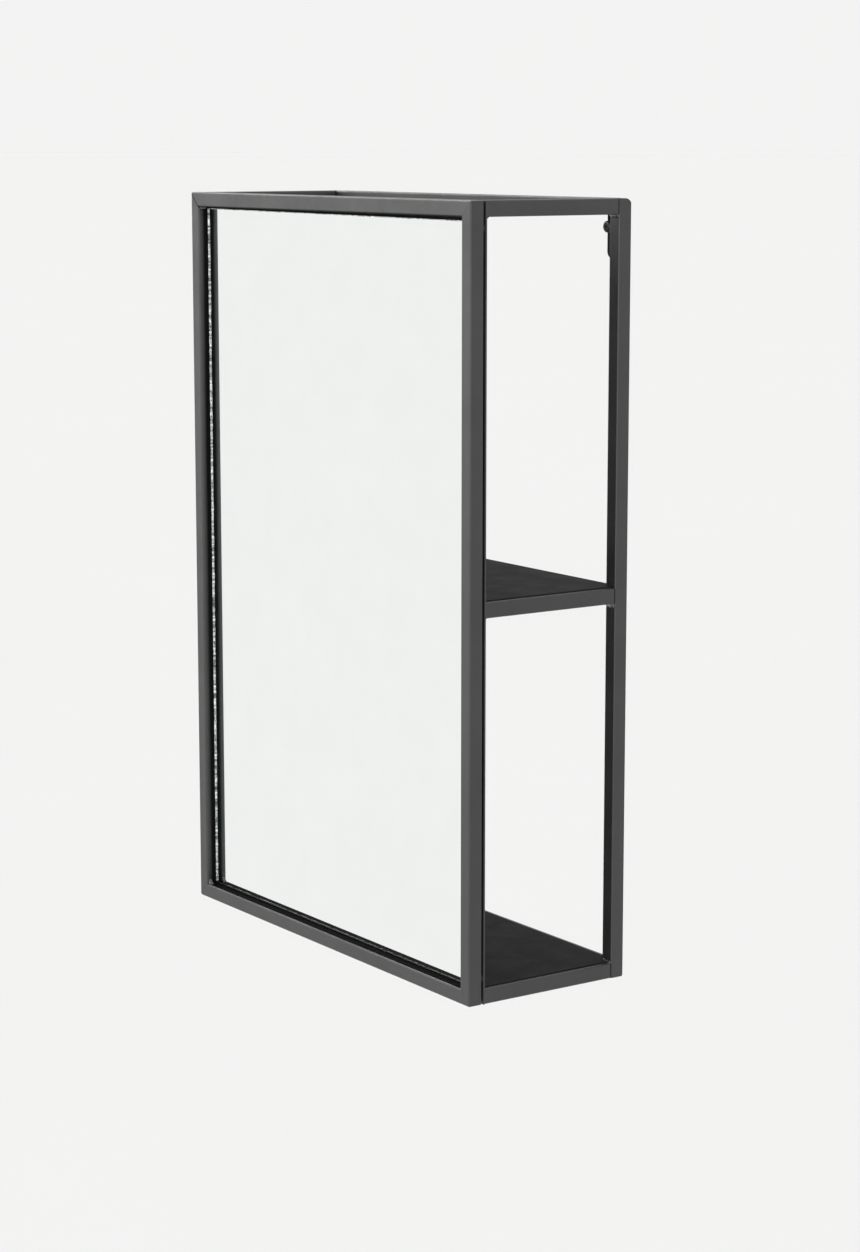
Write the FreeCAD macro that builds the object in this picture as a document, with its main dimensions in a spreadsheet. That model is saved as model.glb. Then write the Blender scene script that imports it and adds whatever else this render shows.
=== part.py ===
import FreeCAD, Part
import math
import os
import Sketcher

# Open-sided wall cabinet of welded square steel tube with a recessed mirror in a hinged door frame.
# Row frame: +X to the right seen from the front, +Y towards the wall, +Z up.
# The origin lies in the wall plane, midway between the two wall screws.

os.makedirs("parts", exist_ok=True)
doc = FreeCAD.newDocument("mirror_cabinet")
sheet = doc.addObject("Spreadsheet::Sheet", "Sizes")

SIZES = {
    "width": 400.0,
    "height": 600.0,
    "depth": 147.5,
    "tube": 12.0,
    "wall": 1.5,
    "edge_round": 1.5,
    "corner_round": 1.5,
    "low_corner_round": 3.5,
    "post_top_round": 6.0,
    "post_foot_round": 2.5,
    "plug_long": 8.0,
    "door_gap": 1.4,
    "bar_thick": 1.2,
    "rail_low": 294.8,
    "plate_thick": 1.0,
    "plate_inset": 4.0,
    "plate_back": 5.0,
    "notch_gap": 0.3,
    "recess": 8.2,
    "glass_thick": 3.0,
    "glass_gap": 0.6,
    "tape_thick": 0.8,
    "tape_wide": 20.0,
    "panel_thick": 0.8,
    "panel_lap": 3.0,
    "screw_drop": 21.5,
    "screw_in": 8.5,
    "hanger_wide": 14.7,
    "hanger_high": 33.0,
    "hanger_thick": 2.0,
    "hanger_round": 5.0,
    "slot_radius": 2.3,
    "key_radius": 4.7,
    "key_drop": 9.0,
    "head_radius": 4.5,
    "head_thick": 3.2,
    "head_front": 8.5,
    "neck_radius": 1.9,
    "thread_radius": 2.25,
    "thread_long": 8.0,
    "tip_long": 3.5,
    "hinge_long": 40.0,
    "hinge_end": 70.0,
    "leaf_wide": 8.0,
    "leaf_thick": 0.55,
    "barrel_radius": 1.9,
    "barrel_out": 2.2,
    "bore_radius": 1.3,
    "pin_radius": 1.25,
    "pin_head": 1.0,
    "knuckle_gap": 0.3,
    "bumper_radius": 3.4,
    "bumper_side": 4.6,
    "bumper_thick": 1.1,
    "bumper_end": 20.0,
    "catch_wide": 44.0,
    "catch_deep": 12.0,
    "catch_high": 9.0,
    "catch_side": 8.0,
    "magnet_wide": 24.0,
    "magnet_deep": 9.0,
    "magnet_high": 4.6,
    "pole_thick": 1.2,
    "pole_front": 0.4,
    "fixing_radius": 1.5,
    "fixing_head": 2.6,
    "fixing_head_thick": 1.4,
}
for row, (alias, value) in enumerate(SIZES.items(), start=1):
    sheet.set("A%d" % row, alias)
    sheet.set("B%d" % row, str(value))
    sheet.setAlias("B%d" % row, alias)
doc.recompute()


def size(name):
    return SIZES[name]


WIDTH, HEIGHT, DEPTH = size("width"), size("height"), size("depth")
TUBE, WALL = size("tube"), size("wall")
LEFT, RIGHT = -WIDTH / 2, WIDTH / 2
FRONT = -DEPTH
TOP = size("screw_drop")
BOTTOM = TOP - HEIGHT
DOOR_BACK = FRONT + TUBE
BAR_FRONT = DOOR_BACK + size("door_gap")
BAR_BACK = BAR_FRONT + size("bar_thick")
POST_FRONT = -TUBE
RAIL_LOW = BOTTOM + size("rail_low")
RAIL_TOP = RAIL_LOW + TUBE
AXIS_X = LEFT - size("barrel_out")
AXIS_Y = DOOR_BACK + size("door_gap") / 2

Vector, Rotation, Placement = FreeCAD.Vector, FreeCAD.Rotation, FreeCAD.Placement
X, Y, Z = Vector(1, 0, 0), Vector(0, 1, 0), Vector(0, 0, 1)
finished = []


def frame_at(origin, local_x, local_z):
    """A placement that lays local X and local Z along the given row directions."""
    local_y = local_z.cross(local_x)
    matrix = FreeCAD.Matrix(
        local_x.x, local_y.x, local_z.x, 0,
        local_x.y, local_y.y, local_z.y, 0,
        local_x.z, local_y.z, local_z.z, 0,
        0, 0, 0, 1,
    )
    return Placement(Vector(*origin), Rotation(matrix))


def bind(thing, prop, expression):
    thing.setExpression(prop, expression)


def finish(thing, label, placement=None):
    thing.Label = label
    if placement is not None:
        thing.Placement = placement
    finished.append(thing)
    return thing


def plane_of(body, role):
    return [f for f in body.Origin.OriginFeatures if f.Role == role][0]


def add_loop(sketch, corners):
    """Draws straight sides through corners. Each corner is (x, x rule, y, y rule)."""
    first = sketch.GeometryCount
    count = len(corners)
    for i in range(count):
        a, b = corners[i], corners[(i + 1) % count]
        line = Part.LineSegment(Vector(a[0], a[2], 0), Vector(b[0], b[2], 0))
        sketch.addGeometry(line, False)
    for i in range(count):
        this, after = first + i, first + (i + 1) % count
        sketch.addConstraint(Sketcher.Constraint("Coincident", this, 2, after, 1))
    for i, (x, x_rule, y, y_rule) in enumerate(corners):
        hold_point(sketch, first + i, 1, x, x_rule, y, y_rule)


def hold_point(sketch, geometry, point, x, x_rule, y, y_rule):
    """Ties one point to the sketch's origin by the rules for its two distances."""
    for kind, value, rule, axis in (("DistanceX", x, x_rule, -2), ("DistanceY", y, y_rule, -1)):
        if rule is None:
            tie = Sketcher.Constraint("PointOnObject", geometry, point, axis)
            sketch.addConstraint(tie)
            continue
        index = sketch.addConstraint(Sketcher.Constraint(kind, -1, 1, geometry, point, value))
        sketch.setExpression("Constraints[%d]" % index, rule)


def new_body(name, role, profile):
    """A body with one sketch on an origin plane; profile(sketch) draws it."""
    body = doc.addObject("PartDesign::Body", name)
    sketch = body.newObject("Sketcher::SketchObject", name + "_profile")
    sketch.AttachmentSupport = (plane_of(body, role), [""])
    sketch.MapMode = "FlatFace"
    profile(sketch)
    return body, sketch


def pad(body, sketch, rule):
    feature = body.newObject("PartDesign::Pad", body.Name + "_pad")
    feature.Profile = sketch
    bind(feature, "Length", rule)
    sketch.Visibility = False
    doc.recompute()
    return feature


def pocket_through(body, name, role, profile):
    """Cuts a profile right through the body, both ways from its plane."""
    sketch = body.newObject("Sketcher::SketchObject", name)
    sketch.AttachmentSupport = (plane_of(body, role), [""])
    sketch.MapMode = "FlatFace"
    profile(sketch)
    before = body.Shape.Volume
    cut = body.newObject("PartDesign::Pocket", name + "_cut")
    cut.Profile = sketch
    cut.Type = "ThroughAll"
    cut.Midplane = True
    sketch.Visibility = False
    doc.recompute()
    if not body.Shape.Volume < before - 1e-6:
        raise RuntimeError(name + " removed nothing")
    return cut


def long_edges(shape, outer):
    """Names of the straight edges along local Z that stand on the outer corners."""
    names = []
    for number, edge in enumerate(shape.Edges, start=1):
        a, b = edge.Vertexes[0].Point, edge.Vertexes[-1].Point
        if abs(a.x - b.x) > 1e-6 or abs(a.y - b.y) > 1e-6 or abs(a.z - b.z) < 1e-6:
            continue
        on_x = abs(a.x) < 1e-6 or abs(a.x - outer) < 1e-6
        on_y = abs(a.y) < 1e-6 or abs(a.y - outer) < 1e-6
        if on_x and on_y:
            names.append("Edge%d" % number)
    return names


def tube_profile(sketch):
    side, rule = TUBE, "Sizes.tube"
    add_loop(sketch, [
        (0, None, 0, None), (side, rule, 0, None), (side, rule, side, rule), (0, None, side, rule),
    ])
    low, high = WALL, TUBE - WALL
    low_rule, high_rule = "Sizes.wall", "Sizes.tube - Sizes.wall"
    add_loop(sketch, [
        (low, low_rule, low, low_rule), (high, high_rule, low, low_rule),
        (high, high_rule, high, high_rule), (low, low_rule, high, high_rule),
    ])


def tube_body(name, length_rule):
    """A length of square tube along local Z with its four long edges rounded."""
    body, sketch = new_body(name, "XY_Plane", tube_profile)
    feature = pad(body, sketch, length_rule)
    rounding = body.newObject("PartDesign::Fillet", name + "_rounding")
    rounding.Base = (feature, long_edges(feature.Shape, TUBE))
    bind(rounding, "Radius", "Sizes.edge_round")
    doc.recompute()
    return body


def end_spot(z, rule, length, length_rule, far):
    """A distance along the tube, counted from its near end or from its far end."""
    if not far:
        return z, rule
    return length - z, length_rule if rule is None else length_rule + " - " + rule


def mitre_profile(length, length_rule, far):
    """The triangle cut off for a 45 degree mitre."""
    def draw(sketch):
        edge = end_spot(0, None, length, length_rule, far)
        deep = end_spot(TUBE, "Sizes.tube", length, length_rule, far)
        add_loop(sketch, [
            (0, None) + edge, (TUBE, "Sizes.tube") + edge, (TUBE, "Sizes.tube") + deep,
        ])
    return draw


def corner_profile(length, length_rule, far, alias):
    """The spandrel ground off the outer corner, where local X is zero."""
    def draw(sketch):
        r, rule = size(alias), "Sizes." + alias
        edge_z, edge_rule = end_spot(0, None, length, length_rule, far)
        deep_z, deep_rule = end_spot(r, rule, length, length_rule, far)
        start, stop = (90, 180) if far else (180, 270)
        circle = Part.Circle(Vector(r, deep_z, 0), Vector(0, 0, 1), r)
        arc = Part.ArcOfCircle(circle, math.radians(start), math.radians(stop))
        sketch.addGeometry(Part.LineSegment(Vector(0, deep_z, 0), Vector(0, edge_z, 0)), False)
        sketch.addGeometry(Part.LineSegment(Vector(0, edge_z, 0), Vector(r, edge_z, 0)), False)
        sketch.addGeometry(arc, False)
        side_end, edge_end = (2, 1) if far else (1, 2)
        for one, one_end, other, other_end in ((0, 2, 1, 1), (1, 2, 2, edge_end), (2, side_end, 0, 1)):
            sketch.addConstraint(Sketcher.Constraint("Coincident", one, one_end, other, other_end))
        hold_point(sketch, 0, 2, 0, None, edge_z, edge_rule)
        hold_point(sketch, 1, 2, r, rule, edge_z, edge_rule)
        hold_point(sketch, 0, 1, 0, None, deep_z, deep_rule)
        index = sketch.addConstraint(Sketcher.Constraint("Radius", 2, r))
        sketch.setExpression("Constraints[%d]" % index, rule)
    return draw


def mitred_tube(name, length, length_rule, rounds, placement):
    """A door frame member: local X = 0 is its outer side, local Z runs along it."""
    body = tube_body(name, length_rule)
    for far, alias, end in ((False, rounds[0], "near"), (True, rounds[1], "far")):
        pocket_through(body, name + "_%s_mitre" % end, "XZ_Plane",
                       mitre_profile(length, length_rule, far))
        pocket_through(body, name + "_%s_corner" % end, "XZ_Plane",
                       corner_profile(length, length_rule, far, alias))
    return finish(body, name, placement)


def straight_tube(name, length_rule, placement):
    return finish(tube_body(name, length_rule), name, placement)


def flat_box(name, sizes, corner):
    """A flat bar, strip or sheet. sizes are the rules of its extents along X, Y and Z."""
    box = doc.addObject("Part::Box", name)
    for prop, rule in zip(("Length", "Width", "Height"), sizes):
        bind(box, prop, rule)
    return finish(box, name, Placement(Vector(*corner), Rotation()))


def add_circle(sketch, x, x_rule, y, y_rule, radius, radius_rule):
    index = sketch.addGeometry(Part.Circle(Vector(x, y, 0), Vector(0, 0, 1), radius), False)
    hold_point(sketch, index, 3, x, x_rule, y, y_rule)
    tie = sketch.addConstraint(Sketcher.Constraint("Radius", index, radius))
    sketch.setExpression("Constraints[%d]" % tie, radius_rule)


def primitive(kind, name, rules, placement):
    thing = doc.addObject("Part::" + kind, name)
    for prop, rule in rules.items():
        bind(thing, prop, rule)
    thing.Placement = placement
    return thing


def at(x, y, z):
    return Placement(Vector(x, y, z), Rotation())


def fuse(name, pieces):
    whole = doc.addObject("Part::MultiFuse", name)
    whole.Shapes = pieces
    return whole


def cut(name, base, tool):
    result = doc.addObject("Part::Cut", name)
    result.Base, result.Tool = base, tool
    return result


def group(name, pieces):
    whole = doc.addObject("Part::Compound", name)
    whole.Links = pieces
    return finish(whole, name)


def round_rims(name, base, radius, wanted):
    """Rounds the circular edges that wanted(edge) picks."""
    doc.recompute()
    result = doc.addObject("Part::Fillet", name)
    result.Base = base
    picked = [
        (number, radius, radius) for number, edge in enumerate(base.Shape.Edges, start=1)
        if isinstance(edge.Curve, Part.Circle) and wanted(edge)
    ]
    result.Edges = picked
    doc.recompute()
    return result


# Door frame: four mitred tubes, welded into one rectangle.
EVEN = ("corner_round", "corner_round")
LOW_LEFT = ("low_corner_round", "corner_round")
mitred_tube("door_left_stile", HEIGHT, "Sizes.height", LOW_LEFT,
            frame_at((LEFT, FRONT, BOTTOM), X, Z))
mitred_tube("door_right_stile", HEIGHT, "Sizes.height", EVEN,
            frame_at((RIGHT, DOOR_BACK, BOTTOM), -X, Z))
mitred_tube("door_top_rail", WIDTH, "Sizes.width", EVEN,
            frame_at((LEFT, FRONT, TOP), -Z, X))
mitred_tube("door_bottom_rail", WIDTH, "Sizes.width", LOW_LEFT,
            frame_at((LEFT, DOOR_BACK, BOTTOM), Z, X))

# Mirror, held by foam tape on a sheet that laps the back of the door frame.
OPENING_WIDE = "Sizes.width - 2 * Sizes.tube"
OPENING_HIGH = "Sizes.height - 2 * Sizes.tube"
GLASS_X = LEFT + TUBE + size("glass_gap")
GLASS_Z = BOTTOM + TUBE + size("glass_gap")
GLASS_Y = FRONT + size("recess")
TAPE_Y = GLASS_Y + size("glass_thick")
flat_box("mirror_glass",
         (OPENING_WIDE + " - 2 * Sizes.glass_gap", "Sizes.glass_thick",
          OPENING_HIGH + " - 2 * Sizes.glass_gap"),
         (GLASS_X, GLASS_Y, GLASS_Z))
tapes = []
for number, x in enumerate((-150.0, 0.0, 150.0)):
    tape = primitive("Box", "tape_%d" % number, {
        "Length": "Sizes.tape_wide", "Width": "Sizes.tape_thick",
        "Height": OPENING_HIGH + " - 2 * Sizes.tape_wide",
    }, at(x - size("tape_wide") / 2, TAPE_Y, BOTTOM + TUBE + size("tape_wide")))
    tapes.append(tape)
group("mirror_tape_strips", tapes)
flat_box("door_back_panel",
         (OPENING_WIDE + " + 2 * Sizes.panel_lap", "Sizes.panel_thick",
          OPENING_HIGH + " + 2 * Sizes.panel_lap"),
         (LEFT + TUBE - size("panel_lap"), DOOR_BACK, BOTTOM + TUBE - size("panel_lap")))

# Front ring of thin flat bar, which the door closes against.
flat_box("front_left_bar", ("Sizes.tube", "Sizes.bar_thick", "Sizes.height"),
         (LEFT, BAR_FRONT, BOTTOM))
flat_box("front_right_bar", ("Sizes.tube", "Sizes.bar_thick", "Sizes.height"),
         (RIGHT - TUBE, BAR_FRONT, BOTTOM))
flat_box("front_top_bar", (OPENING_WIDE, "Sizes.bar_thick", "Sizes.tube"),
         (LEFT + TUBE, BAR_FRONT, TOP - TUBE))
flat_box("front_bottom_bar", (OPENING_WIDE, "Sizes.bar_thick", "Sizes.tube"),
         (LEFT + TUBE, BAR_FRONT, BOTTOM))

# Rear posts, closed at both ends by plugs and ground round at their rear corners.
for side, x in (("left", LEFT), ("right", RIGHT - TUBE)):
    name = "rear_%s_post" % side
    post = tube_body(name, "Sizes.height")
    for far, alias, end in ((False, "post_foot_round", "foot"), (True, "post_top_round", "top")):
        pocket_through(post, name + "_%s_corner" % end, "XZ_Plane",
                       corner_profile(HEIGHT, "Sizes.height", far, alias))
    finish(post, name, frame_at((x, 0, BOTTOM), -Y, Z))


def plug_profile(sketch):
    low, high = WALL, TUBE - WALL
    low_rule, high_rule = "Sizes.wall", "Sizes.tube - Sizes.wall"
    add_loop(sketch, [
        (low, low_rule, low, low_rule), (high, high_rule, low, low_rule),
        (high, high_rule, high, high_rule), (low, low_rule, high, high_rule),
    ])


PLUG = size("plug_long")
for end, far, alias, z in (
    ("top", True, "post_top_round", TOP - PLUG), ("foot", False, "post_foot_round", BOTTOM),
):
    plugs = []
    for side, x in (("left", LEFT), ("right", RIGHT - TUBE)):
        name = "%s_%s_plug" % (side, end)
        plug, sketch = new_body(name, "XY_Plane", plug_profile)
        pad(plug, sketch, "Sizes.plug_long")
        pocket_through(plug, name + "_corner", "XZ_Plane",
                       corner_profile(PLUG, "Sizes.plug_long", far, alias))
        plug.Placement = frame_at((x, 0, z), -Y, Z)
        plugs.append(plug)
    group("post_%s_plugs" % end, plugs)

# Rear rails between the posts.
for level, z in (("top", TOP - TUBE), ("bottom", BOTTOM)):
    straight_tube("rear_%s_rail" % level, OPENING_WIDE, frame_at((LEFT + TUBE, POST_FRONT, z), Y, X))

# Side rails from the front ring to the posts.
RAIL_LONG = "Sizes.depth - 2 * Sizes.tube - Sizes.door_gap - Sizes.bar_thick"
for side, x in (("left", LEFT), ("right", RIGHT - TUBE)):
    for level, top in (("top", TOP), ("middle", RAIL_TOP), ("bottom", BOTTOM + TUBE)):
        straight_tube("%s_%s_rail" % (side, level), RAIL_LONG, frame_at((x, BAR_BACK, top), X, Y))

# Catch position, under the front edge of the middle shelf.
CATCH_X = RIGHT - TUBE - size("catch_side") - size("catch_wide")
CATCH_Z = RAIL_TOP - size("catch_high")
FIXING_IN = 5.0
FIXING_Y = BAR_BACK + size("catch_deep") / 2
FIXING_XS = (CATCH_X + FIXING_IN, CATCH_X + size("catch_wide") - FIXING_IN)


def shelf_profile(sketch):
    """Sheet outline from its front left corner, notched round the rear posts."""
    wide, wide_rule = WIDTH - 2 * size("plate_inset"), "Sizes.width - 2 * Sizes.plate_inset"
    side = TUBE - size("plate_inset") + size("notch_gap")
    side_rule = "Sizes.tube - Sizes.plate_inset + Sizes.notch_gap"
    notch = POST_FRONT - size("notch_gap") - BAR_BACK
    notch_rule = RAIL_LONG + " - Sizes.notch_gap"
    back = -size("plate_back") - BAR_BACK
    back_rule = RAIL_LONG + " + Sizes.tube - Sizes.plate_back"
    add_loop(sketch, [
        (0, None, 0, None),
        (wide, wide_rule, 0, None),
        (wide, wide_rule, notch, notch_rule),
        (wide - side, wide_rule + " - (" + side_rule + ")", notch, notch_rule),
        (wide - side, wide_rule + " - (" + side_rule + ")", back, back_rule),
        (side, side_rule, back, back_rule),
        (side, side_rule, notch, notch_rule),
        (0, None, notch, notch_rule),
    ])


SHELF_X = LEFT + size("plate_inset")


def fixing_profile(sketch):
    for x in FIXING_XS:
        across, along = x - SHELF_X, FIXING_Y - BAR_BACK
        add_circle(sketch, across, "%.6f" % across, along, "Sizes.catch_deep / 2",
                   size("fixing_radius"), "Sizes.fixing_radius")


for name, z in (("middle_shelf", RAIL_TOP), ("bottom_shelf", BOTTOM + TUBE)):
    shelf, sketch = new_body(name, "XY_Plane", shelf_profile)
    pad(shelf, sketch, "Sizes.plate_thick")
    if name == "middle_shelf":
        pocket_through(shelf, "fixing_holes", "XY_Plane", fixing_profile)
    finish(shelf, name, at(SHELF_X, BAR_BACK, z))


# Hanger plates: local X runs inwards from the post, local Y upwards.
def hanger_profile(sketch):
    wide, high = size("hanger_wide"), size("hanger_high")
    add_loop(sketch, [
        (0, None, 0, None), (wide, "Sizes.hanger_wide", 0, None),
        (wide, "Sizes.hanger_wide", high, "Sizes.hanger_high"), (0, None, high, "Sizes.hanger_high"),
    ])


HANGER_LOW = TOP - TUBE - size("hanger_high")
SLOT_Y = -HANGER_LOW
SLOT_RULE = "Sizes.hanger_high + Sizes.tube - Sizes.screw_drop"


def slot_top(sketch):
    add_circle(sketch, size("screw_in"), "Sizes.screw_in", SLOT_Y, SLOT_RULE,
               size("slot_radius"), "Sizes.slot_radius")


def key_hole(sketch):
    add_circle(sketch, size("screw_in"), "Sizes.screw_in", SLOT_Y - size("key_drop"),
               SLOT_RULE + " - Sizes.key_drop", size("key_radius"), "Sizes.key_radius")


def slot_sides(sketch):
    low, high = size("screw_in") - size("slot_radius"), size("screw_in") + size("slot_radius")
    low_rule, high_rule = "Sizes.screw_in - Sizes.slot_radius", "Sizes.screw_in + Sizes.slot_radius"
    foot, foot_rule = SLOT_Y - size("key_drop"), SLOT_RULE + " - Sizes.key_drop"
    add_loop(sketch, [
        (low, low_rule, foot, foot_rule), (high, high_rule, foot, foot_rule),
        (high, high_rule, SLOT_Y, SLOT_RULE), (low, low_rule, SLOT_Y, SLOT_RULE),
    ])


for side, corner, inwards, outwards in (
    ("left", (LEFT + TUBE, 0, HANGER_LOW), X, -Y),
    ("right", (RIGHT - TUBE, -size("hanger_thick"), HANGER_LOW), -X, Y),
):
    name = side + "_hanger_plate"
    plate, sketch = new_body(name, "XY_Plane", hanger_profile)
    feature = pad(plate, sketch, "Sizes.hanger_thick")
    corner_edge = [
        "Edge%d" % number for number, edge in enumerate(feature.Shape.Edges, start=1)
        if all(abs(v.X - size("hanger_wide")) < 1e-6 and abs(v.Y) < 1e-6 for v in edge.Vertexes)
    ]
    rounding = plate.newObject("PartDesign::Fillet", name + "_rounding")
    rounding.Base = (feature, corner_edge)
    bind(rounding, "Radius", "Sizes.hanger_round")
    doc.recompute()
    for part_name, profile in (("slot_top", slot_top), ("key_hole", key_hole), ("slot", slot_sides)):
        pocket_through(plate, "%s_%s" % (name, part_name), "XY_Plane", profile)
    finish(plate, name, frame_at(corner, inwards, outwards))


def cross_screw(name, head_radius, head_thick, necks, placement):
    """A pan head screw along local +Z from the face of its head, with a cross recess."""
    head = primitive("Cylinder", name + "_head", {
        "Radius": head_radius, "Height": head_thick,
    }, at(0, 0, 0))
    radius, thick = size(head_radius.split(".")[1]), size(head_thick.split(".")[1])
    domed = round_rims(name + "_dome", head, thick * 0.55, lambda e: abs(e.CenterOfMass.z) < 1e-6)
    pieces, z = [domed], thick
    for number, (radius_rule, length, length_rule) in enumerate(necks):
        pieces.append(primitive("Cylinder", "%s_shank_%d" % (name, number), {
            "Radius": radius_rule, "Height": length_rule,
        }, at(0, 0, z)))
        z += length
    whole = fuse(name + "_blank", pieces)
    arm, slot, deep = radius * 0.52, radius * 0.2, thick * 0.45
    bars = [
        primitive("Box", name + "_recess_a", {
            "Length": "%.4f" % (2 * arm), "Width": "%.4f" % slot, "Height": "%.4f" % deep,
        }, at(-arm, -slot / 2, 0)),
        primitive("Box", name + "_recess_b", {
            "Length": "%.4f" % slot, "Width": "%.4f" % (2 * arm), "Height": "%.4f" % deep,
        }, at(-slot / 2, -arm, 0)),
    ]
    result = cut(name, whole, fuse(name + "_recess", bars))
    result.Placement = placement
    return result, z


# Wall screws, driven part way so that the hanger plates drop over their necks.
NECK_LONG = size("head_front") - size("head_thick")
screws = []
for side, x in (("left", LEFT + TUBE + size("screw_in")), ("right", RIGHT - TUBE - size("screw_in"))):
    place = frame_at((x, -size("head_front"), 0), X, Y)
    screw, reach = cross_screw(side + "_screw", "Sizes.head_radius", "Sizes.head_thick", [
        ("Sizes.neck_radius", NECK_LONG, "Sizes.head_front - Sizes.head_thick"),
        ("Sizes.thread_radius", size("thread_long"), "Sizes.thread_long"),
    ], place)
    tip = primitive("Cone", side + "_tip", {
        "Radius1": "Sizes.thread_radius", "Radius2": "Sizes.thread_radius * 0.15",
        "Height": "Sizes.tip_long",
    }, place * at(0, 0, reach))
    screws.append(fuse(side + "_wall_screw", [screw, tip]))
group("wall_screws", screws)

# Butt hinges in the gap on the left, with their barrels outside the left side.
HINGE_LONG = size("hinge_long")
KNUCKLE = (HINGE_LONG - 2 * size("knuckle_gap")) / 3
KNUCKLE_RULE = "(Sizes.hinge_long - 2 * Sizes.knuckle_gap) / 3"
LEAF_EDGE = LEFT + 0.1


def hinge_leaf(name, leaf_y, z, order):
    """A leaf with its knuckles. order lists which of the three knuckle places it fills."""
    pieces = [primitive("Box", name + "_flat", {
        "Length": "Sizes.leaf_wide", "Width": "Sizes.leaf_thick", "Height": "Sizes.hinge_long",
    }, at(LEAF_EDGE, leaf_y, z))]
    for place in order:
        low = z + place * (KNUCKLE + size("knuckle_gap"))
        pieces.append(primitive("Box", "%s_tab_%d" % (name, place), {
            "Length": "Sizes.barrel_out + 0.6", "Width": "Sizes.leaf_thick", "Height": KNUCKLE_RULE,
        }, at(AXIS_X, leaf_y, low)))
        pieces.append(primitive("Cylinder", "%s_knuckle_%d" % (name, place), {
            "Radius": "Sizes.barrel_radius", "Height": KNUCKLE_RULE,
        }, at(AXIS_X, AXIS_Y, low)))
    bore = primitive("Cylinder", name + "_bore", {
        "Radius": "Sizes.bore_radius", "Height": "Sizes.hinge_long + 2",
    }, at(AXIS_X, AXIS_Y, z - 1))
    return finish(cut(name, fuse(name + "_blank", pieces), bore), name)


for level, z in (
    ("upper", TOP - size("hinge_end") - HINGE_LONG), ("lower", BOTTOM + size("hinge_end")),
):
    hinge_leaf(level + "_hinge_door_leaf", DOOR_BACK, z, (1,))
    hinge_leaf(level + "_hinge_frame_leaf", BAR_FRONT - size("leaf_thick"), z, (0, 2))
    name = level + "_hinge_pin"
    pin_parts = [primitive("Cylinder", name + "_rod", {
        "Radius": "Sizes.pin_radius", "Height": "Sizes.hinge_long",
    }, at(AXIS_X, AXIS_Y, z))]
    for end, end_z in (("foot", z - size("pin_head")), ("cap", z + HINGE_LONG)):
        pin_parts.append(primitive("Cylinder", "%s_%s" % (name, end), {
            "Radius": "Sizes.barrel_radius - 0.15", "Height": "Sizes.pin_head",
        }, at(AXIS_X, AXIS_Y, end_z)))
    pin = fuse(name + "_blank", pin_parts)
    ends = (z - size("pin_head"), z + HINGE_LONG + size("pin_head"))
    rounded = round_rims(name, pin, 0.45, lambda e: any(abs(e.CenterOfMass.z - v) < 1e-6 for v in ends))
    finish(rounded, name)

# Rubber bumpers on the closing side of the front ring.
bumpers = []
for end, z in (("upper", TOP - size("bumper_end")), ("lower", BOTTOM + size("bumper_end"))):
    disc = primitive("Cylinder", end + "_bumper_disc", {
        "Radius": "Sizes.bumper_radius", "Height": "Sizes.bumper_thick",
    }, at(0, 0, 0))
    domed = round_rims(end + "_bumper", disc, 0.5,
                       lambda e: abs(e.CenterOfMass.z - size("bumper_thick")) < 1e-6)
    domed.Placement = frame_at((RIGHT - size("bumper_side"), BAR_FRONT, z), X, -Y)
    bumpers.append(domed)
group("door_bumpers", bumpers)

# Magnetic catch: housing, magnet between two pole plates, and two fixing screws.
STACK = size("magnet_high") + 2 * size("pole_thick")
STACK_Z = CATCH_Z + (size("catch_high") - STACK) / 2
MAGNET_X = CATCH_X + (size("catch_wide") - size("magnet_wide")) / 2
POLE_Y = DOOR_BACK + size("panel_thick") + size("pole_front")
MAGNET_Y = BAR_BACK - 0.4
block = primitive("Box", "catch_block", {
    "Length": "Sizes.catch_wide", "Width": "Sizes.catch_deep", "Height": "Sizes.catch_high",
}, at(CATCH_X, BAR_BACK, CATCH_Z))
hollows = [primitive("Box", "catch_slot", {
    "Length": "Sizes.magnet_wide + 0.2", "Width": "Sizes.magnet_deep + 0.2",
    "Height": "Sizes.magnet_high + 2 * Sizes.pole_thick + 0.2",
}, at(MAGNET_X - 0.1, BAR_BACK - 0.1, STACK_Z - 0.1))]
for number, x in enumerate(FIXING_XS):
    hollows.append(primitive("Cylinder", "catch_hole_%d" % number, {
        "Radius": "Sizes.fixing_radius + 0.1", "Height": "Sizes.catch_high",
    }, at(x, FIXING_Y, CATCH_Z)))
finish(cut("catch_housing", block, fuse("catch_hollows", hollows)), "catch_housing")
BACK_OF_SLOT = BAR_BACK + size("magnet_deep")
flat_box("catch_magnet",
         ("Sizes.magnet_wide", "%.4f" % (BACK_OF_SLOT - MAGNET_Y), "Sizes.magnet_high"),
         (MAGNET_X, MAGNET_Y, STACK_Z + size("pole_thick")))
poles = []
for number, z in enumerate((STACK_Z, STACK_Z + size("pole_thick") + size("magnet_high"))):
    poles.append(primitive("Box", "pole_%d" % number, {
        "Length": "Sizes.magnet_wide", "Width": "%.4f" % (BACK_OF_SLOT - POLE_Y),
        "Height": "Sizes.pole_thick",
    }, at(MAGNET_X, POLE_Y, z)))
group("catch_pole_plates", poles)
fixings = []
for number, x in enumerate(FIXING_XS):
    place = at(x, FIXING_Y, CATCH_Z - size("fixing_head_thick"))
    shank = size("catch_high") + size("plate_thick")
    fixing, reach = cross_screw("fixing_%d" % number, "Sizes.fixing_head", "Sizes.fixing_head_thick",
                                [("Sizes.fixing_radius", shank, "Sizes.catch_high + Sizes.plate_thick")],
                                place)
    fixings.append(fixing)
group("catch_screws", fixings)

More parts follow.
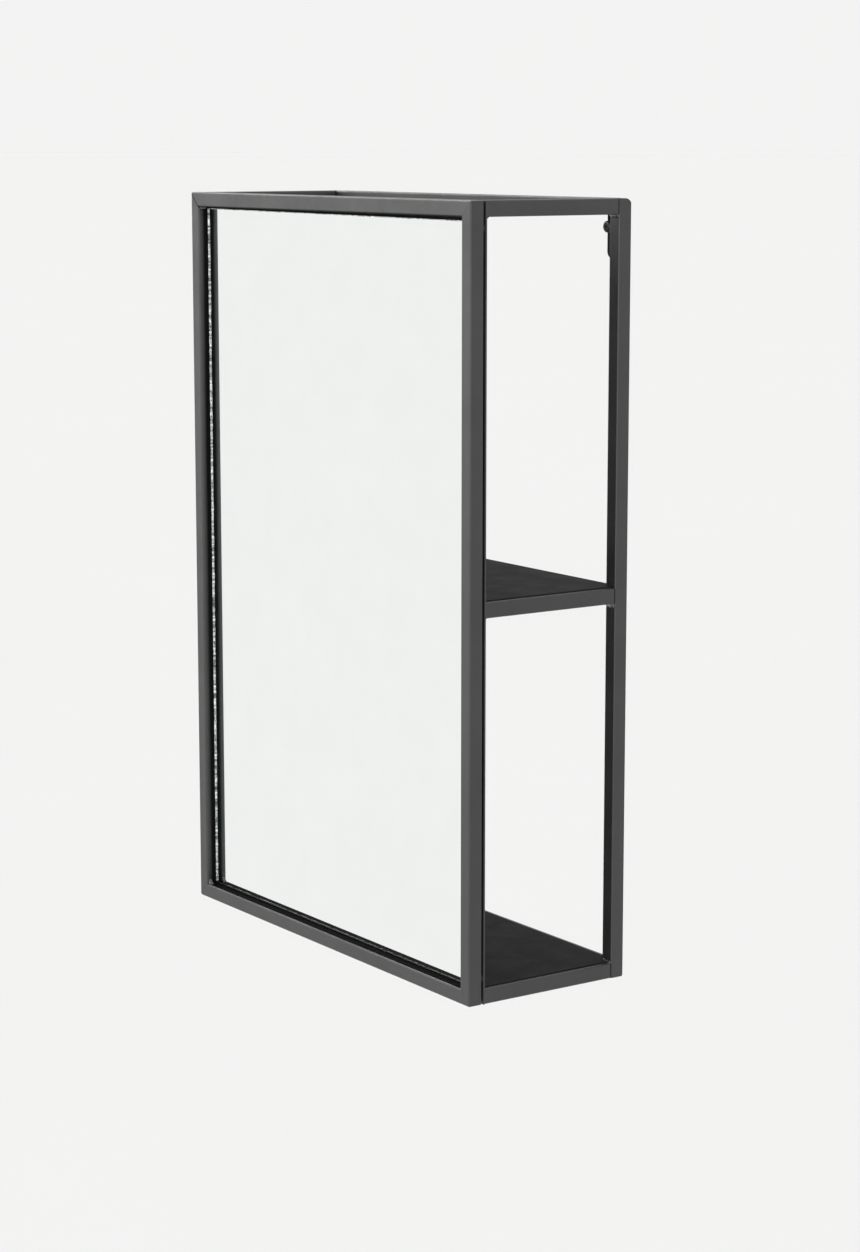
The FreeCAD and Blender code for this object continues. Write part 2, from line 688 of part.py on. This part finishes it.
doc.recompute()
for thing in doc.Objects:
    if any(word in thing.State for word in ("Invalid", "Error")):
        raise RuntimeError("%s is %s" % (thing.Name, thing.State))
for thing in finished:
    if thing.Shape.isNull() or not thing.Shape.isValid():
        raise RuntimeError(thing.Label + " has a bad shape")
for thing in finished:
    thing.Shape.exportStep("parts/%s.step" % thing.Label)
    box = thing.Shape.BoundBox
    print(thing.Label, len(thing.Shape.Solids), round(thing.Shape.Volume, 1),
          [round(v, 2) for v in (box.XMin, box.XMax, box.YMin, box.YMax, box.ZMin, box.ZMax)])
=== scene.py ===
"""A wall-hung bathroom cabinet with a mirror door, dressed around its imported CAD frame."""
import math

import bmesh
import bpy
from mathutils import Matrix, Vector, noise


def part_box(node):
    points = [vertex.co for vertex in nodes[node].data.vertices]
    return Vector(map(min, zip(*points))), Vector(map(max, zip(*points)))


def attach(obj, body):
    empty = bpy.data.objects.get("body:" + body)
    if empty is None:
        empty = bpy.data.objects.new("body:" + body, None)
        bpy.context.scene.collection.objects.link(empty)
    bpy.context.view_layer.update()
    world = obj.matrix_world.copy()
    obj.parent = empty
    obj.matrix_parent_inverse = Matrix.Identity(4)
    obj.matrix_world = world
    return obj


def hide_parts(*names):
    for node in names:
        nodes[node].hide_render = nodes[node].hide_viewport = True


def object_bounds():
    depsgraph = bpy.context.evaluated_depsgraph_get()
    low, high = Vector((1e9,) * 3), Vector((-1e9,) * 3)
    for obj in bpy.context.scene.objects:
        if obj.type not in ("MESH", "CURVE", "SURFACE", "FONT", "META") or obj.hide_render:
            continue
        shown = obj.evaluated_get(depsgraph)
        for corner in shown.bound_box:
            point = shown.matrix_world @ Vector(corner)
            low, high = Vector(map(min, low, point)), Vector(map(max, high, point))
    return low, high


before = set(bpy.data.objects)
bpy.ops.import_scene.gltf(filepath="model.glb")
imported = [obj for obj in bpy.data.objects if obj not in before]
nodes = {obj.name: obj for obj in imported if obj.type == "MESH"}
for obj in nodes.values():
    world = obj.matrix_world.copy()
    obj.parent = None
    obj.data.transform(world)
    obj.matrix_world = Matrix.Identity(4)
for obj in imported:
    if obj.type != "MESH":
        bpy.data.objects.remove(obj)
cad_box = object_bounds()
MM = 0.001


# ---------------------------------------------------------------- materials

def new_material(name):
    """A material, its node tree and its Principled shader."""
    made = bpy.data.materials.new(name)
    made.use_nodes = True
    tree = made.node_tree
    return made, tree, tree.nodes["Principled BSDF"]


def place_of(tree, scale=(1, 1, 1)):
    """The piece's own coordinates in metres, stretched by scale."""
    coordinates = tree.nodes.new("ShaderNodeTexCoord")
    mapping = tree.nodes.new("ShaderNodeMapping")
    mapping.inputs["Scale"].default_value = scale
    tree.links.new(coordinates.outputs["Object"], mapping.inputs["Vector"])
    return mapping.outputs["Vector"]


def clouds(tree, vector, scale, detail=3.0, roughness=0.55):
    """Soft noise from 0 to 1."""
    made = tree.nodes.new("ShaderNodeTexNoise")
    made.inputs["Scale"].default_value = scale
    made.inputs["Detail"].default_value = detail
    made.inputs["Roughness"].default_value = roughness
    tree.links.new(vector, made.inputs["Vector"])
    return made.outputs["Fac"]


def spread(tree, value, low, high, start=0.35, end=0.65):
    """Takes value's range start..end to low..high."""
    made = tree.nodes.new("ShaderNodeMapRange")
    for key, number in (("From Min", start), ("From Max", end), ("To Min", low), ("To Max", high)):
        made.inputs[key].default_value = number
    tree.links.new(value, made.inputs["Value"])
    return made.outputs["Result"]


def blend_colours(tree, factor, first, second):
    """A colour between first and second; either may be an RGB triple or a socket."""
    made = tree.nodes.new("ShaderNodeMix")
    made.data_type = "RGBA"
    tree.links.new(factor, made.inputs["Factor"])
    for socket, colour in ((made.inputs[6], first), (made.inputs[7], second)):
        if isinstance(colour, tuple):
            socket.default_value = (*colour, 1)
        else:
            tree.links.new(colour, socket)
    return made.outputs[2]


def combine(tree, operation, first, second):
    """One maths step on two sockets or numbers."""
    made = tree.nodes.new("ShaderNodeMath")
    made.operation = operation
    for socket, value in zip(made.inputs, (first, second)):
        if isinstance(value, (int, float)):
            socket.default_value = value
        else:
            tree.links.new(value, socket)
    return made.outputs[0]


def bump(tree, height, depth, strength=1.0, below=None):
    """A bump of the given depth in metres, on top of another one if below is given."""
    made = tree.nodes.new("ShaderNodeBump")
    made.inputs["Distance"].default_value = depth
    made.inputs["Strength"].default_value = strength
    tree.links.new(height, made.inputs["Height"])
    if below is not None:
        tree.links.new(below, made.inputs["Normal"])
    return made.outputs["Normal"]


def edge_mask(tree, radius):
    """1 on worn outer edges and 0 on flats."""
    rounded = tree.nodes.new("ShaderNodeBevel")
    rounded.samples = 4
    rounded.inputs["Radius"].default_value = radius
    geometry = tree.nodes.new("ShaderNodeNewGeometry")
    dot = tree.nodes.new("ShaderNodeVectorMath")
    dot.operation = "DOT_PRODUCT"
    tree.links.new(rounded.outputs["Normal"], dot.inputs[0])
    tree.links.new(geometry.outputs["Normal"], dot.inputs[1])
    return spread(tree, dot.outputs["Value"], 1.0, 0.0, 0.86, 0.99)


def between(tree, value, low, high):
    """1 where low < value < high, else 0."""
    return combine(tree, "MULTIPLY", combine(tree, "GREATER_THAN", value, low),
                   combine(tree, "LESS_THAN", value, high))


def axes_of(tree):
    """The X, Y and Z of the piece's own coordinates, in metres."""
    coordinates = tree.nodes.new("ShaderNodeTexCoord")
    axes = tree.nodes.new("ShaderNodeSeparateXYZ")
    tree.links.new(coordinates.outputs["Object"], axes.inputs["Vector"])
    return axes.outputs["X"], axes.outputs["Y"], axes.outputs["Z"]


def recess_painted_shade(tree):
    """Painted shade in the recess round the mirror: from 0 at the door's face to 1 at the glass, on the faces
    round the mirror. The ledge is 1 all over.
    """
    x, y, z = axes_of(tree)
    slack = 0.15 * MM
    low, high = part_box("door_bottom_rail")[1].z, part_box("door_top_rail")[0].z
    left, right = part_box("door_left_stile")[1].x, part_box("door_right_stile")[0].x
    inside = combine(tree, "MULTIPLY", between(tree, x, left - slack, right + slack),
                     between(tree, z, low - slack, high + slack))
    face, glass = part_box("door_left_stile")[0].y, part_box("mirror_glass")[0].y
    dark_from, dark_full, ledge_high = 1.4 * MM, 2.8 * MM, 0.3 * MM
    deep = spread(tree, y, 0, 1, face + dark_from, glass - dark_full)
    ledge = combine(tree, "LESS_THAN", z, low + ledge_high)
    return combine(tree, "MULTIPLY", inside, combine(tree, "MAXIMUM", deep, ledge))


def mitre_painted_shade(tree):
    """Painted shade along the corner joints' hairlines: clear at the upper left, nearly ground away at the
    other corners.
    """
    x, _, z = axes_of(tree)
    low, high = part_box("door_left_stile")
    wide, mid = -low.x, (low.z + high.z) / 2
    from_axis = combine(tree, "ABSOLUTE", x, 0)
    from_mid = combine(tree, "ABSOLUTE", combine(tree, "SUBTRACT", z, mid), 0)
    off = combine(tree, "SUBTRACT", combine(tree, "SUBTRACT", from_axis, from_mid),
                  wide - (high.z - mid))
    core, fade = 0.25 * MM, 0.75 * MM
    hairline = spread(tree, combine(tree, "ABSOLUTE", off, 0), 1, 0, core, fade)
    upper_left = combine(tree, "MULTIPLY", combine(tree, "LESS_THAN", x, 0),
                         combine(tree, "GREATER_THAN", z, mid))
    ground_away, clear = 0.12, 0.95
    return combine(tree, "MULTIPLY", hairline, spread(tree, upper_left, ground_away, clear, 0, 1))


def lip_painted_shade(tree):
    """Painted shade under the top rail: most on the rounded lower front edge of the door's top rail, between
    the stiles.
    """
    x, _, z = axes_of(tree)
    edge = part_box("door_top_rail")[0].z
    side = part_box("door_right_stile")[0].x
    slack, full, gone = 0.2 * MM, 0.5 * MM, 1.5 * MM
    across = combine(tree, "MULTIPLY", combine(tree, "GREATER_THAN", z, edge - slack),
                     between(tree, x, -side, side))
    return combine(tree, "MULTIPLY", spread(tree, z, 0.9, 0.0, edge + full, edge + gone), across)


def door_shade_painting(tree):
    """Painted shade on the door frame: in the recess, along the mitre hairlines and under the top rail."""
    return combine(tree, "MAXIMUM", recess_painted_shade(tree),
                   combine(tree, "MAXIMUM", mitre_painted_shade(tree), lip_painted_shade(tree)))


def seam_shade_painting(tree):
    """Painted shade on the carcass: in the notches at the side rails' ends, against the rear posts."""
    _, y, _ = axes_of(tree)
    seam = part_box("rear_right_post")[0].y
    dark_from, dark_full, post_clear = 1.1 * MM, 0.5 * MM, 0.02 * MM
    return combine(tree, "MULTIPLY", spread(tree, y, 0, 1, seam - dark_from, seam - dark_full),
                   combine(tree, "LESS_THAN", y, seam - post_clear))


# Painted shade: the near-black colour, high roughness and low gloss given where a shade mask is 1.
PAINTED_SHADE_COLOUR, PAINTED_SHADE_ROUGHNESS, PAINTED_SHADE_SPECULAR = (0.004, 0.004, 0.004), 0.85, 0.03
WORN_EDGE = 0.0009


def powder_coat(name, deep, light, worn, rough, specular, painted_shade_mask=None):
    """Baked powder paint: slow tone drift, fine speckle, orange peel, and thinner paint on the edges.
    The last argument is a mask of painted shade: there the colour is made near black, rough and dull,
    standing in for the shade in recesses and joints."""
    made, tree, shader = new_material(name)
    place = place_of(tree)
    drift = clouds(tree, place, 16, 3)
    speckle = clouds(tree, place, 1500, 2, 0.6)
    peel = clouds(tree, place, 620, 2, 0.5)
    grains = clouds(tree, place, 2600, 1, 0.5)
    tone = blend_colours(tree, spread(tree, drift, 0, 1), deep, light)
    flecked = blend_colours(tree, spread(tree, speckle, 0, 0.35, 0.5, 0.75), tone, worn)
    wear = combine(tree, "MULTIPLY", edge_mask(tree, WORN_EDGE),
                   spread(tree, clouds(tree, place, 90, 4), 0.1, 0.8))
    painted = blend_colours(tree, wear, flecked, worn)
    base_rough = spread(tree, clouds(tree, place, 45, 4), rough[0], rough[1])
    finish = combine(tree, "SUBTRACT", base_rough, combine(tree, "MULTIPLY", wear, 0.08))
    if painted_shade_mask is None:
        shader.inputs["Specular IOR Level"].default_value = specular
    else:
        # Painted shade: darken the colour, raise the roughness and drop the gloss where the mask marks shade.
        shade_amount = painted_shade_mask(tree)
        painted = blend_colours(tree, shade_amount, painted, PAINTED_SHADE_COLOUR)
        finish = combine(tree, "MAXIMUM", finish, combine(tree, "MULTIPLY", shade_amount, PAINTED_SHADE_ROUGHNESS))
        tree.links.new(spread(tree, shade_amount, specular, PAINTED_SHADE_SPECULAR, 0, 1),
                       shader.inputs["Specular IOR Level"])
    tree.links.new(painted, shader.inputs["Base Color"])
    tree.links.new(finish, shader.inputs["Roughness"])
    tree.links.new(bump(tree, grains, 0.00001, 0.6, bump(tree, peel, 0.00003, 0.7)),
                   shader.inputs["Normal"])
    return made


DEEP, LIGHT, WORN = (0.0125, 0.0125, 0.0130), (0.0185, 0.0185, 0.0190), (0.05, 0.05, 0.05)
# The carcass coat carries painted shade at the rail-end seams; the door coat carries it in the recess, along
# the mitres and under the top rail.
STEEL = powder_coat("powder_black", DEEP, LIGHT, WORN, (0.40, 0.50), 0.72, seam_shade_painting)
FRAME = powder_coat("powder_black_door", DEEP, LIGHT, WORN, (0.40, 0.50), 0.72, door_shade_painting)
# The weld beads' copy of the powder coat: glossier than the rest, and its lighter base colour is a painted
# highlight.
BEAD = powder_coat("powder_black_weld", (0.03, 0.03, 0.0305), (0.05, 0.05, 0.0505), WORN,
                   (0.16, 0.24), 1.0)
SHEET = powder_coat("powder_black_sheet", (0.0105, 0.0105, 0.0105), (0.0145, 0.0145, 0.0145),
                    (0.04, 0.04, 0.04), (0.74, 0.84), 0.09)


def plain_metal(name, dark, light, rough, grain=(1, 1, 1), grain_scale=900):
    """Bare or plated metal with a drawn grain and cloudy tarnish."""
    made, tree, shader = new_material(name)
    fine = clouds(tree, place_of(tree, grain), grain_scale, 3, 0.6)
    cloudy = clouds(tree, place_of(tree), 220, 4, 0.6)
    tree.links.new(blend_colours(tree, spread(tree, cloudy, 0, 1), dark, light), shader.inputs["Base Color"])
    tree.links.new(spread(tree, fine, rough[0], rough[1]), shader.inputs["Roughness"])
    shader.inputs["Metallic"].default_value = 1.0
    tree.links.new(bump(tree, fine, 0.00001, 0.6), shader.inputs["Normal"])
    return made


def dull(name, dark, light, rough, scale, depth, specular=0.5):
    """Rubber, plastic, foam or ferrite: a fine grain and a slow tone drift."""
    made, tree, shader = new_material(name)
    place = place_of(tree)
    drift = clouds(tree, place, scale / 12, 3)
    grain = clouds(tree, place, scale, 3, 0.6)
    tree.links.new(blend_colours(tree, spread(tree, drift, 0, 1), dark, light), shader.inputs["Base Color"])
    tree.links.new(spread(tree, grain, rough[0], rough[1]), shader.inputs["Roughness"])
    shader.inputs["Specular IOR Level"].default_value = specular
    tree.links.new(bump(tree, grain, depth, 0.8), shader.inputs["Normal"])
    return made


def silvering():
    """Silver seen through clear glass: faint clouding and a slow waviness."""
    made, tree, shader = new_material("silvered_glass")
    place = place_of(tree)
    tree.links.new(blend_colours(tree, spread(tree, clouds(tree, place, 28, 4, 0.6), 0, 1),
                                 (0.950, 0.970, 0.960), (0.968, 0.985, 0.976)), shader.inputs["Base Color"])
    tree.links.new(spread(tree, clouds(tree, place, 12, 2), 0.0, 0.02), shader.inputs["Roughness"])
    shader.inputs["Metallic"].default_value = 1.0
    tree.links.new(bump(tree, clouds(tree, place, 9, 1, 0.4), 0.00004, 1.0), shader.inputs["Normal"])
    return made


def ground_edge():
    """The cut and ground rim of float glass, black where it stands on its setting bead. Its broken bright
    dots are partly the ground glass's own white and partly painted glints.
    """
    made, tree, shader = new_material("ground_glass_edge")
    place = place_of(tree)
    nibble = clouds(tree, place, 520, 4, 0.7)
    chips = clouds(tree, place, 150, 2, 0.5)
    mixed = combine(tree, "ADD", combine(tree, "MULTIPLY", nibble, 0.65),
                    combine(tree, "MULTIPLY", chips, 0.35))
    # Partly painted glints: the nick and chip noise breaks the rim's colour into near-white dots and dark
    # specks.
    bright = blend_colours(tree, spread(tree, mixed, 0, 1, 0.44, 0.60),
                           (0.05, 0.065, 0.062), (0.84, 0.88, 0.87))
    _, _, height = axes_of(tree)
    bead_high = 1.3 * MM
    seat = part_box("mirror_glass")[0].z + bead_high
    seated = combine(tree, "LESS_THAN", height, seat)
    tree.links.new(blend_colours(tree, seated, bright, (0.012, 0.012, 0.012)), shader.inputs["Base Color"])
    tree.links.new(spread(tree, nibble, 0.2, 0.55), shader.inputs["Roughness"])
    tree.links.new(spread(tree, seated, 0.5, 0.05, 0, 1), shader.inputs["Specular IOR Level"])
    tree.links.new(bump(tree, nibble, 0.0003, 1.0), shader.inputs["Normal"])
    return made


ZINC = plain_metal("zinc_plate", (0.50, 0.51, 0.53), (0.66, 0.67, 0.69), (0.28, 0.42))
PIN = plain_metal("drawn_pin_steel", (0.40, 0.40, 0.41), (0.56, 0.56, 0.57), (0.22, 0.38),
                  (1, 1, 0.05), 2500)
SCREW = powder_coat("black_screw", (0.009, 0.009, 0.009), (0.014, 0.014, 0.014), (0.07, 0.07, 0.07),
                    (0.30, 0.42), 0.6)
RUBBER = dull("rubber", (0.03, 0.03, 0.03), (0.05, 0.05, 0.052), (0.65, 0.85), 1400, 0.00002, 0.3)
PLASTIC = dull("black_plastic", (0.028, 0.028, 0.029), (0.042, 0.042, 0.043), (0.38, 0.52), 1800, 0.00001)
FERRITE = dull("ferrite", (0.07, 0.068, 0.066), (0.13, 0.125, 0.12), (0.55, 0.8), 1100, 0.00003)
FOAM = dull("foam_tape", (0.50, 0.50, 0.48), (0.62, 0.62, 0.60), (0.8, 0.95), 2200, 0.00006, 0.2)
SILVER = silvering()
RIM = ground_edge()

SLOT_MATERIALS = {
    "black_steel": STEEL, "silvered_glass": SILVER, "foam_tape": FOAM, "black_screw": SCREW,
    "zinc_steel": ZINC, "hinge_pin_steel": PIN, "rubber": RUBBER, "black_plastic": PLASTIC,
    "magnet": FERRITE,
}
SHEET_NODES = ("middle_shelf", "bottom_shelf", "door_back_panel")
HANGER_PLATES = ("left_hanger_plate", "right_hanger_plate")
DOOR_FRAME = ("door_left_stile", "door_right_stile", "door_top_rail", "door_bottom_rail")


def finish_of(name, slot):
    """A CAD piece's finish: by name for the sheets and the door frame, by its slot for the rest."""
    if name in SHEET_NODES + HANGER_PLATES:
        return SHEET
    if name in DOOR_FRAME:
        return FRAME
    return SLOT_MATERIALS[slot]


for name, node in nodes.items():
    node.material_slots[0].material = finish_of(name, node.data.materials[0].name)

# ---------------------------------------------------------------- softened edges of the CAD pieces

DOOR_EDGE, CARCASS_EDGE = 0.22 * MM, 0.2 * MM


def soften(name, width):
    """A small radius on a CAD piece's sharp edges, so that joints between pieces show as fine grooves."""
    node = nodes[name]
    weld = node.modifiers.new("weld", "WELD")
    weld.merge_threshold = 1e-6
    flat = node.modifiers.new("flat", "DECIMATE")
    flat.decimate_type = "DISSOLVE"
    flat.angle_limit = math.radians(0.5)
    edge = node.modifiers.new("edge", "BEVEL")
    edge.width = width
    edge.segments = 2
    edge.limit_method = "ANGLE"
    edge.angle_limit = math.radians(40)
    node.modifiers.new("shade", "WEIGHTED_NORMAL").keep_sharp = False


for name in DOOR_FRAME:
    soften(name, DOOR_EDGE)
for name in nodes:
    if name.startswith(("front_", "rear_", "left_", "right_")) and "hanger" not in name:
        soften(name, CARCASS_EDGE)
for name in SHEET_NODES:
    soften(name, CARCASS_EDGE)

# ---------------------------------------------------------------- mirror pane

RIM_STEP = 1.4 * MM
TOP_SHORT, TOP_SLOPE = 0.5, 1.8


def add_piece(name, verts, faces, materials, body, material_of=None, smooth=True):
    """A mesh piece riding on a body."""
    mesh = bpy.data.meshes.new(name)
    mesh.from_pydata([tuple(v) for v in verts], [], faces)
    for material in materials:
        mesh.materials.append(material)
    for index, polygon in enumerate(mesh.polygons):
        polygon.use_smooth = smooth
        polygon.material_index = material_of[index] if material_of else 0
    mesh.validate()
    piece = bpy.data.objects.new(name, mesh)
    bpy.context.scene.collection.objects.link(piece)
    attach(piece, body)
    return piece


def ring_faces(loops, count):
    """Quads between successive loops of the same number of points."""
    return [(a * count + i, a * count + (i + 1) % count,
             (a + 1) * count + (i + 1) % count, (a + 1) * count + i)
            for a in range(loops - 1) for i in range(count)]


def rectangle_walk(half_wide, low, high, step):
    """Points round a rectangle in x and z, each with its inward direction and whether it is a corner."""
    corners = [(-half_wide, low), (half_wide, low), (half_wide, high), (-half_wide, high)]
    walk = []
    for (x0, z0), (x1, z1) in zip(corners, corners[1:] + corners[:1]):
        long = math.hypot(x1 - x0, z1 - z0)
        count = round(long / step)
        inward = (-(z1 - z0) / long, (x1 - x0) / long)
        for i in range(count):
            t = i / count
            walk.append((x0 + t * (x1 - x0), z0 + t * (z1 - z0), inward, i == 0))
    return walk


def mirror_pane():
    """A silvered pane, its silver set back inside a rough cut rim. Its top edge falls short of the CAD
    glass, more to the right, so that the dark wedge seen in the photo shows under the top rail."""
    low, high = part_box("mirror_glass")
    tall, wide = high.z - low.z, high.x - low.x
    walk = []
    for x, z, inward, corner in rectangle_walk(high.x, low.z, high.z, RIM_STEP):
        short = (TOP_SHORT + TOP_SLOPE * (x - low.x) / wide) * MM
        walk.append((x, low.z + (z - low.z) * (1 - short / tall), inward, corner))
    count = len(walk)
    arris, sunk = 0.25 * MM, 1.2 * MM
    loops = [[], [], [], [], []]
    for i, (x, z, (ix, iz), corner) in enumerate(walk):
        before = walk[i - 1][2]
        if corner:
            ix, iz = ix + before[0], iz + before[1]
        rough = noise.noise((x * 420, 1.7, z * 420)) + 0.6 * noise.noise((x * 1100, 8.2, z * 1100))
        lip = (0.42 + 0.22 * rough) * MM
        foot = (0.62 + 0.30 * noise.noise((x * 700, 4.4, z * 700))) * MM
        nick = noise.noise((x * 260, 5.5, z * 260)) + 0.7 * noise.noise((x * 640, 3.5, z * 640))
        crest = low.y + max(0.04, 0.35 + 0.55 * nick) * MM
        loops[0].append((x, high.y, z))
        loops[1].append((x, low.y + arris, z))
        loops[2].append((x + ix * arris, crest, z + iz * arris))
        loops[3].append((x + ix * lip, crest + 0.12 * MM, z + iz * lip))
        loops[4].append((x + ix * foot, low.y + sunk, z + iz * foot))
    verts = [p for loop in loops for p in loop]
    faces = ring_faces(len(loops), count)
    material_of = [1] * len(faces)
    faces += [tuple(range(count - 1, -1, -1)), tuple(range(4 * count, 5 * count))]
    material_of += [1, 0]
    pane = add_piece("mirror_pane", verts, faces, [SILVER, RIM], "door", material_of, False)
    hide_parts("mirror_glass")


mirror_pane()

# ---------------------------------------------------------------- weld beads

BEAD_ROOT = 0.1 * MM
BEAD_ARC = 6


def fillet(corner, u, v, w, length, leg, seed):
    """Verts and faces of one bead in an inside corner. u and v run along the two faces, w along the bead."""
    corner, u, v, w = Vector(corner), Vector(u), Vector(v), Vector(w)
    rings = max(6, round(length / (0.8 * MM)))
    verts, faces = [], []
    for r in range(rings + 1):
        along = r / rings
        taper = min(1.0, 0.45 + 6 * min(along, 1 - along))
        size = leg * taper * (1 + 0.10 * noise.noise((seed * 3.1, along * length * 900, 0.3)))
        ripple = 0.035 * math.sin(along * length / (0.9 * MM) * math.pi)
        base = corner + w * (along * length)
        verts.append(base - u * BEAD_ROOT - v * BEAD_ROOT)
        for k in range(BEAD_ARC + 1):
            turn = math.pi / 2 * k / BEAD_ARC
            hollow = (size * (1 - math.sin(turn)), size * (1 - math.cos(turn)))
            chord = (size * (1 - k / BEAD_ARC), size * k / BEAD_ARC)
            mix = 0.62 + ripple
            a, b = (mix * c + (1 - mix) * h for c, h in zip(chord, hollow))
            a, b = (a if k < BEAD_ARC else -BEAD_ROOT), (b if k else -BEAD_ROOT)
            verts.append(base + u * a + v * b)
    ring = BEAD_ARC + 2
    for r in range(rings):
        for k in range(ring):
            following = (k + 1) % ring
            faces.append((r * ring + k, r * ring + following, (r + 1) * ring + following,
                          (r + 1) * ring + k))
    faces.append(tuple(range(ring - 1, -1, -1)))
    faces.append(tuple(range(rings * ring, (rings + 1) * ring)))
    return verts, faces


def bead_group(name, body, beads, material):
    """Several beads in one piece. Each bead is (corner, u, v, w, length, leg), in metres."""
    verts, faces = [], []
    for seed, bead in enumerate(beads):
        more, quads = fillet(*bead, seed)
        faces += [tuple(i + len(verts) for i in quad) for quad in quads]
        verts += more
    piece = add_piece(name, verts, faces, [material], body)
    bm = bmesh.new()
    bm.from_mesh(piece.data)
    bmesh.ops.recalc_face_normals(bm, faces=bm.faces)
    bm.to_mesh(piece.data)
    bm.free()


X, Y, Z = Vector((1, 0, 0)), Vector((0, 1, 0)), Vector((0, 0, 1))
bar_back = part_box("front_right_bar")[1].y
post_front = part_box("rear_right_post")[0].y
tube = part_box("right_top_rail")[1].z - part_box("right_top_rail")[0].z

for side, sign in (("left", -1), ("right", 1)):
    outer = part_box("rear_right_post")[1].x
    inner = outer - tube
    across = tube - 2.0 * MM
    start = sign * (inner + 1.2 * MM)
    beads = []
    for level, end_legs in (("top", (3.4, 2.6)), ("middle", (2.4, 4.2))):
        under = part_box("right_%s_rail" % level)[0].z
        beads.append(((start, bar_back, under), Y, -Z, X * sign, across, end_legs[0] * MM))
        beads.append(((start, post_front, under), -Y, -Z, X * sign, across, end_legs[1] * MM))
    floor_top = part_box("right_bottom_rail")[1].z
    beads.append(((start, bar_back, floor_top), Y, Z, X * sign, across, 2.2 * MM))
    beads.append(((start, post_front, floor_top), -Y, Z, X * sign, across, 2.0 * MM))
    bead_group(side + "_side_welds", "cabinet", beads, BEAD)

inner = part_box("rear_right_post")[0].x
rear_beads = []
for sign in (-1, 1):
    under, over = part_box("rear_top_rail")[0].z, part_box("rear_bottom_rail")[1].z
    rear_beads.append(((sign * inner, post_front + 1.5 * MM, under), -X * sign, -Z, Y, 7.8 * MM, 2.4 * MM))
    rear_beads.append(((sign * inner, post_front + 1.5 * MM, over), -X * sign, Z, Y, 9.0 * MM, 2.4 * MM))
    plate_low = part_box("right_hanger_plate")[0]
    rear_beads.append(((sign * inner, plate_low.y, plate_low.z + 4 * MM), -X * sign, -Y, Z,
                       24 * MM, 1.5 * MM))
bead_group("rear_frame_welds", "cabinet", rear_beads, BEAD)

recess_top, recess_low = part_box("door_top_rail")[0].z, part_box("door_bottom_rail")[1].z
recess_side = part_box("door_right_stile")[0].x
recess_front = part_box("door_left_stile")[0].y + 1.2 * MM
door_beads = []
for sign, end, up, deep, leg in ((-1, recess_low, Z, 3.4, 4.4), (1, recess_low, Z, 6.4, 1.8),
                                 (-1, recess_top, -Z, 6.4, 1.8), (1, recess_top, -Z, 6.4, 1.8)):
    door_beads.append(((sign * recess_side, recess_front, end), -X * sign, up, Y, deep * MM, leg * MM))
bead_group("door_corner_welds", "door", door_beads, BEAD)

# ---------------------------------------------------------------- stage

FLOOR_DROP = 1.5
FLOOR_LEVEL = cad_box[0].z - FLOOR_DROP
FLOOR_HALF = 400.0


def floor_material():
    """Matt pale ground with a faint drift, close to the tone of the world behind it."""
    made, tree, shader = new_material("pale_floor")
    place = place_of(tree)
    tree.links.new(blend_colours(tree, clouds(tree, place, 0.7, 3),
                                 (0.714, 0.714, 0.713), (0.722, 0.722, 0.721)), shader.inputs["Base Color"])
    tree.links.new(spread(tree, clouds(tree, place, 3, 3), 0.85, 0.95), shader.inputs["Roughness"])
    shader.inputs["Specular IOR Level"].default_value = 0.0
    return made


floor_mesh = bpy.data.meshes.new("floor")
floor_mesh.from_pydata([(-FLOOR_HALF, -FLOOR_HALF, FLOOR_LEVEL), (FLOOR_HALF, -FLOOR_HALF, FLOOR_LEVEL),
                        (FLOOR_HALF, FLOOR_HALF, FLOOR_LEVEL), (-FLOOR_HALF, FLOOR_HALF, FLOOR_LEVEL)], [],
                       [(0, 1, 2, 3)])
floor_mesh.materials.append(floor_material())
floor = bpy.data.objects.new("floor", floor_mesh)
bpy.context.scene.collection.objects.link(floor)

world = bpy.data.worlds.new("studio")
bpy.context.scene.world = world
world.use_nodes = True
sky = world.node_tree
backdrop = sky.nodes["Background"]
direction = sky.nodes.new("ShaderNodeTexCoord")
split = sky.nodes.new("ShaderNodeSeparateXYZ")
sky.links.new(direction.outputs["Generated"], split.inputs["Vector"])
backdrop.inputs["Color"].default_value = (0.993, 0.993, 0.990, 1)
sky.links.new(spread(sky, split.outputs["Z"], 0.90, 1.0, 0.25, 0.62), backdrop.inputs["Strength"])


def soft_sun(name, energy, angle, colour, direction_to):
    """A sun as wide as a softbox, angle degrees across, shining from direction_to."""
    data = bpy.data.lights.new(name, "SUN")
    data.energy = energy
    data.angle = math.radians(angle)
    data.color = colour
    lamp = bpy.data.objects.new(name, data)
    lamp.rotation_euler = Vector(direction_to).to_track_quat("Z", "Y").to_euler()
    bpy.context.scene.collection.objects.link(lamp)


soft_sun("key", 1.35, 44, (1.0, 0.99, 0.97), (-0.62, -0.78, 0.06))
soft_sun("brow", 0.9, 26, (1.0, 1.0, 0.99), (-0.83, -0.02, 0.56))
soft_sun("edge", 1.4, 32, (0.99, 0.995, 1.0), (0.56, -0.81, 0.13))

# ---------------------------------------------------------------- camera

# Fitted to the straight edges in the photo.
FOCAL_LENGTH = 82.64
CAMERA_PLACE = (1.8945, -1.3544, 0.0652)
CAMERA_AIM = (-0.8110, 0.5606, -0.1672)

camera_data = bpy.data.cameras.new("camera")
camera_data.lens = FOCAL_LENGTH
camera_data.sensor_width = 36.0
camera_data.clip_end = 2000.0
camera = bpy.data.objects.new("camera", camera_data)
camera.location = CAMERA_PLACE
camera.rotation_euler = Vector(CAMERA_AIM).to_track_quat("-Z", "Y").to_euler()
bpy.context.scene.collection.objects.link(camera)
bpy.context.scene.camera = camera
bpy.context.scene.view_settings.view_transform = "Standard"
